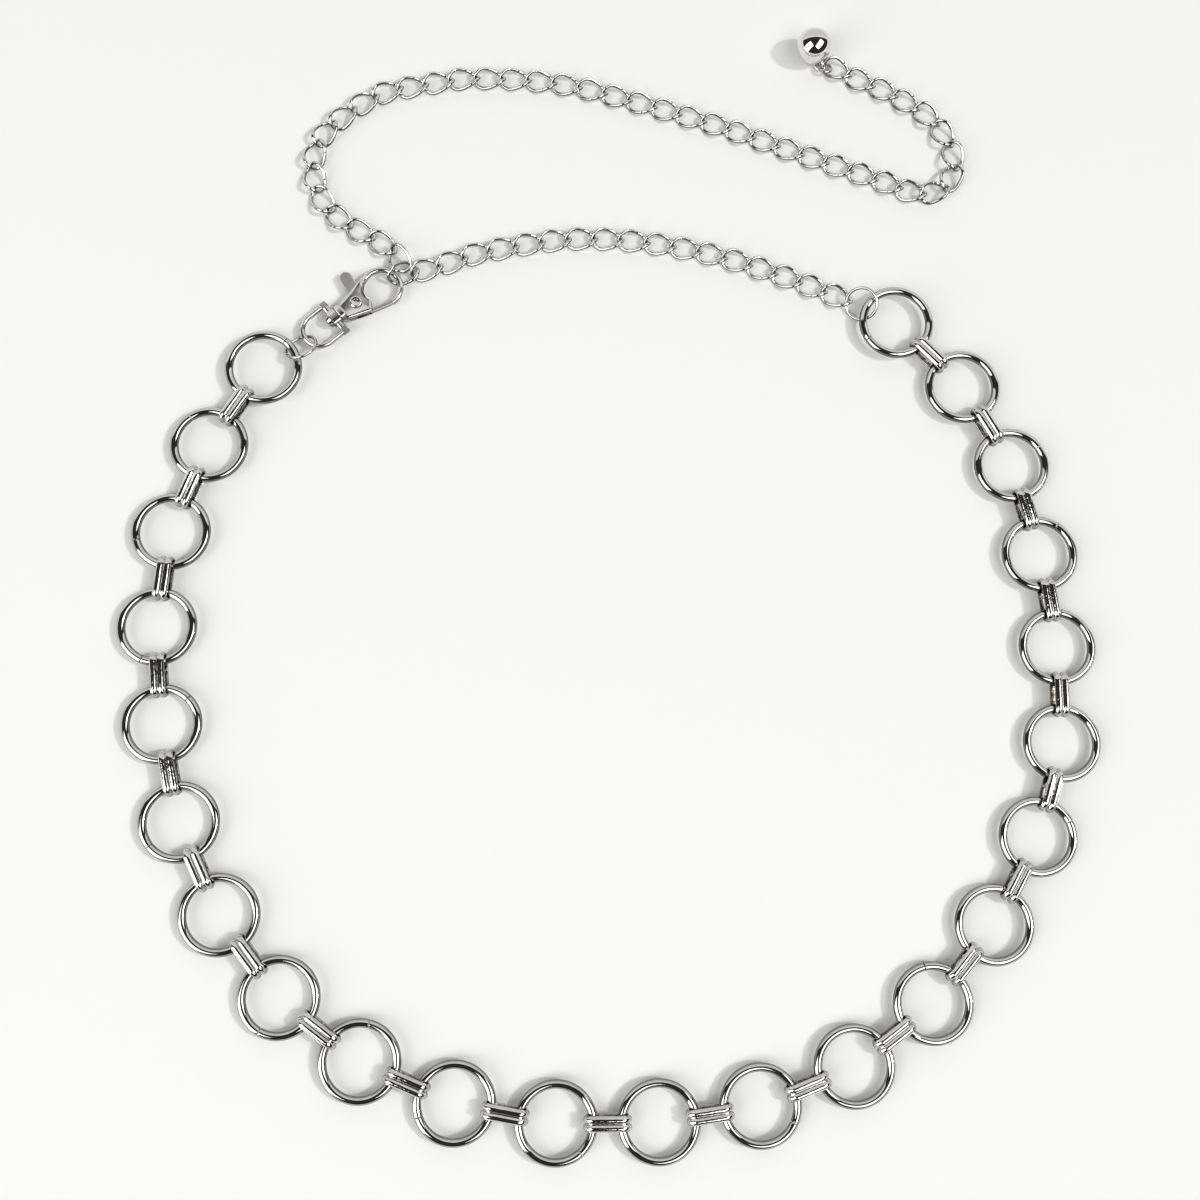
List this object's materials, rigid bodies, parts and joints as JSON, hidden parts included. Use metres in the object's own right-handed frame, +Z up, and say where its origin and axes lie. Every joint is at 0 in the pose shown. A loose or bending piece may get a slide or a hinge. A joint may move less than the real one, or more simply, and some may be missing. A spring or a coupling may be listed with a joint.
{
  "type": "waist chain",
  "caption": "Waist chain of large round rings joined by ridged connectors, closed by a swivel trigger clasp on a twisted curb chain that ends in a ball.",
  "frame": {"origin": "centre of the bounding box in plan, on the surface that the chain lies on", "axes": "+Z up from that surface; +Y from the front of the waist loop towards its clasp and the free tail; +X to the right, clasp on the left"},
  "size_m": [0.3117, 0.3718, 0.012],
  "materials": {
    "ring_metal": "bright polished plating on round wire",
    "connector_metal": "bright polished plating on a ridged strip",
    "clasp_metal": "bright plating on a die casting",
    "lever_metal": "bright plating on a stamped lever",
    "wire_metal": "bright plating on thin wire",
    "chain_metal": "bright plating on twisted links",
    "ball_metal": "mirror polished plating"
  },
  "bodies": {
    "root": {"ring_01": "ring_metal", "ring_02": "ring_metal", "ring_03": "ring_metal", "ring_04": "ring_metal", "ring_05": "ring_metal", "ring_06": "ring_metal", "ring_07": "ring_metal", "ring_08": "ring_metal", "ring_09": "ring_metal", "ring_10": "ring_metal", "ring_11": "ring_metal", "ring_12": "ring_metal", "ring_13": "ring_metal", "ring_14": "ring_metal", "ring_15": "ring_metal", "ring_16": "ring_metal", "ring_17": "ring_metal", "ring_18": "ring_metal", "ring_19": "ring_metal", "ring_20": "ring_metal", "ring_21": "ring_metal", "ring_22": "ring_metal", "ring_23": "ring_metal", "connector_01": "connector_metal", "connector_02": "connector_metal", "connector_03": "connector_metal", "connector_04": "connector_metal", "connector_05": "connector_metal", "connector_06": "connector_metal", "connector_07": "connector_metal", "connector_08": "connector_metal", "connector_09": "connector_metal", "connector_10": "connector_metal", "connector_11": "connector_metal", "connector_12": "connector_metal", "connector_13": "connector_metal", "connector_14": "connector_metal", "connector_15": "connector_metal", "connector_16": "connector_metal", "connector_17": "connector_metal", "connector_18": "connector_metal", "connector_19": "connector_metal", "connector_20": "connector_metal", "connector_21": "connector_metal", "connector_22": "connector_metal", "clasp_hook": "clasp_metal", "clasp_rivet": "clasp_metal", "clasp_jump_ring": "wire_metal", "end_jump_ring": "wire_metal", "extender_chain": "chain_metal", "tail_chain": "chain_metal", "ball_jump_ring": "wire_metal", "end_ball": "ball_metal"},
    "bail": {"swivel_bail": "clasp_metal"},
    "lever": {"clasp_lever": "lever_metal"}
  },
  "joints": [
    {"name": "swivel", "type": "hinge", "parent": "root", "child": "bail", "pos_m": [-0.0914, 0.0795, 0.0026], "axis": [0.749, 0.6626, 0], "range_deg": [-2, 12]},
    {"name": "lever_hinge", "type": "hinge", "parent": "root", "child": "lever", "pos_m": [-0.08426, 0.08448, 0.0026], "axis": [0, 0, 1], "range_deg": [0, 30], "stiffness_Nm_per_rad": 0.01, "springref_deg": -17.19}
  ]
}
